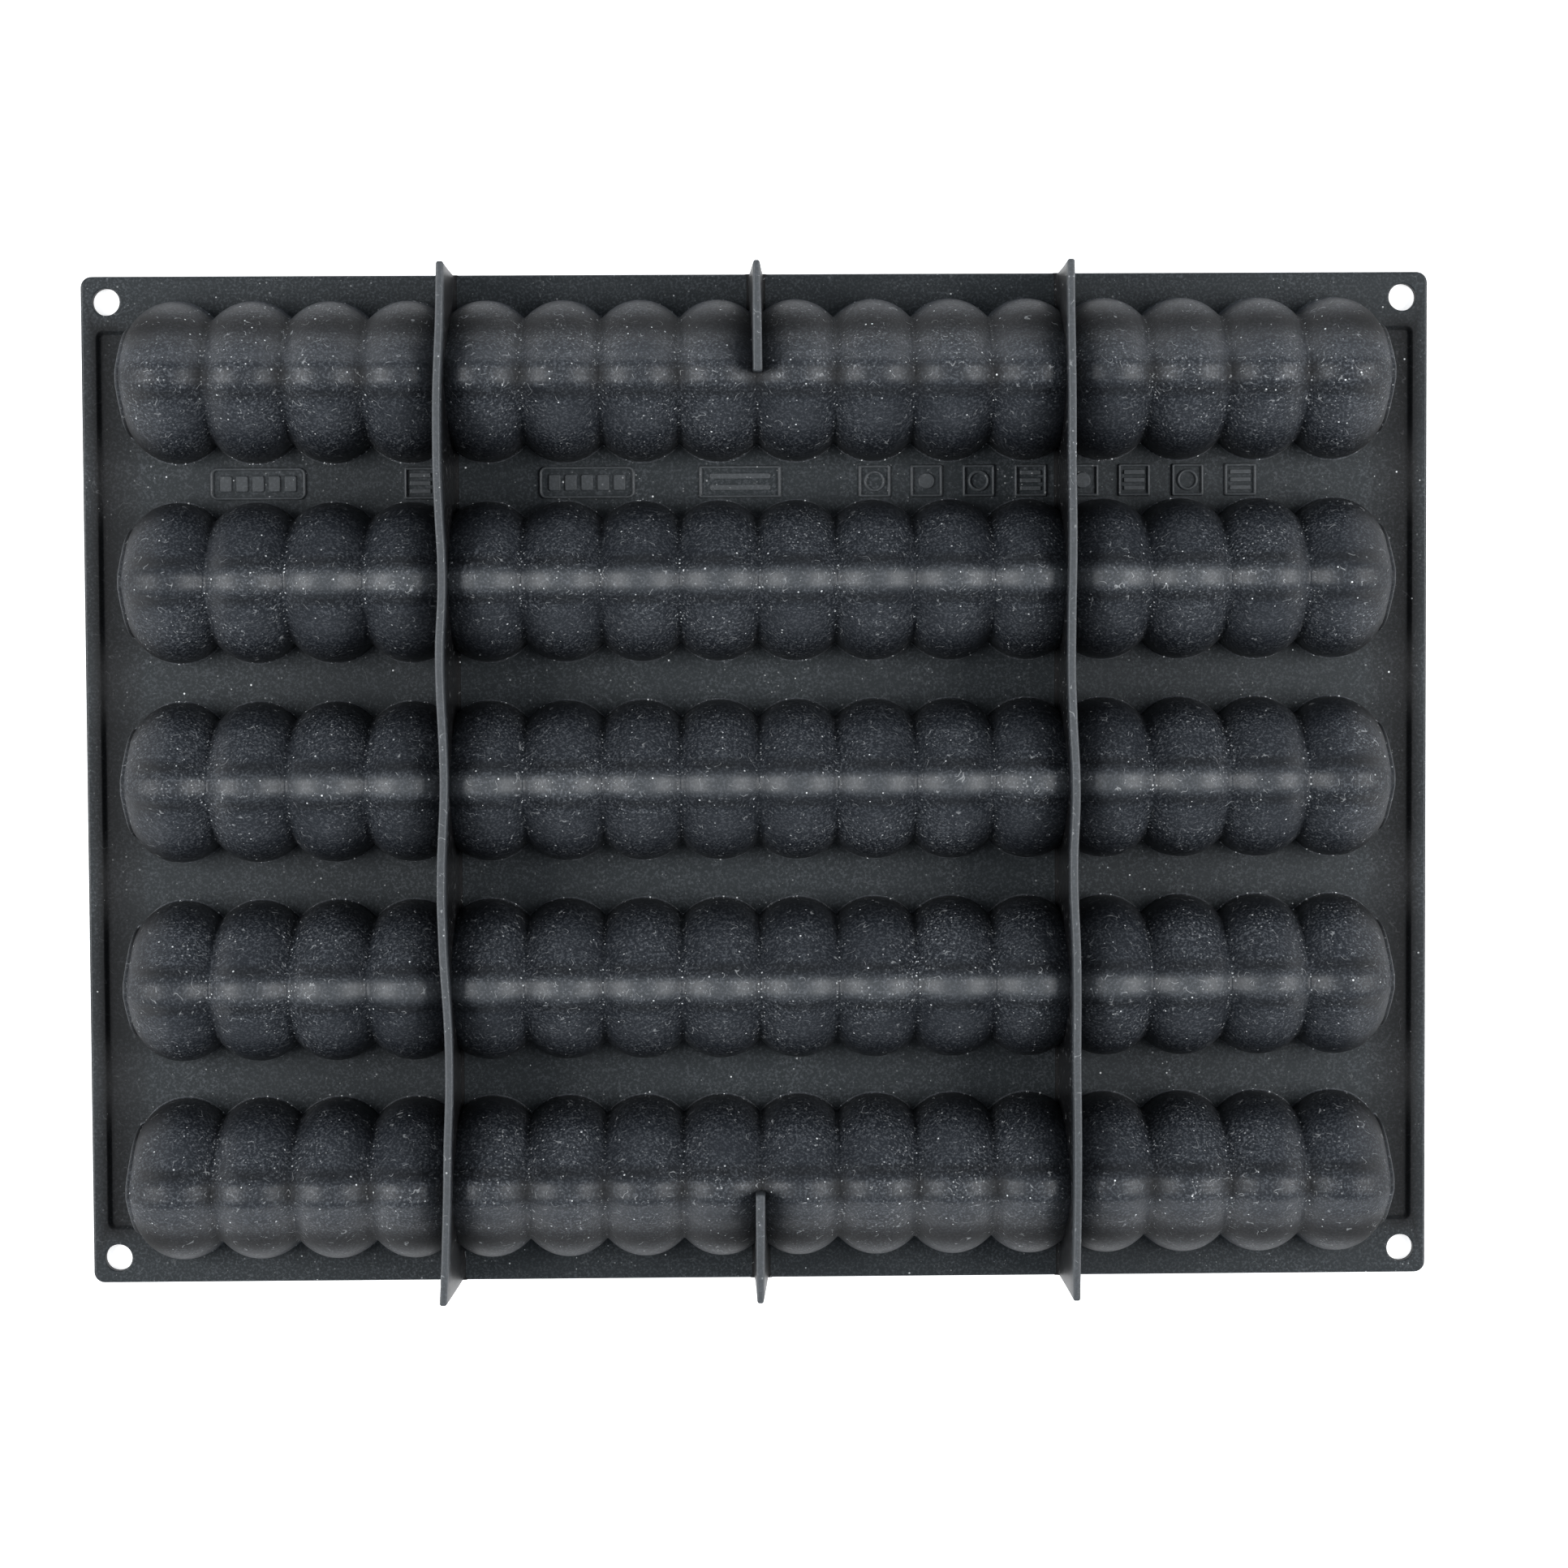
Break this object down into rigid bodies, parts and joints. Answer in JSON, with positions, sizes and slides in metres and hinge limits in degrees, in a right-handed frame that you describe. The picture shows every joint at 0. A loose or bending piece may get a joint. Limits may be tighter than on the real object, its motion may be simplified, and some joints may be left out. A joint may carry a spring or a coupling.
{
  "type": "silicone mini log cake mould",
  "caption": "One-piece silicone mould with parallel bulged log cavities in a flat rimmed sheet, stiffened underneath by thin cross ribs and short edge fins, with holes in the corners.",
  "frame": {"origin": "middle of the flat open face, which the mould lies on", "axes": "+X along the logs, +Y across the logs, +Z from the open face towards the ribs"},
  "size_m": [0.4, 0.3, 0.0448],
  "materials": {
    "silicone": "matt moulded silicone, dark charcoal, with a dusty bloom"
  },
  "bodies": {
    "root": {"log_mould": "silicone"}
  },
  "joints": []
}
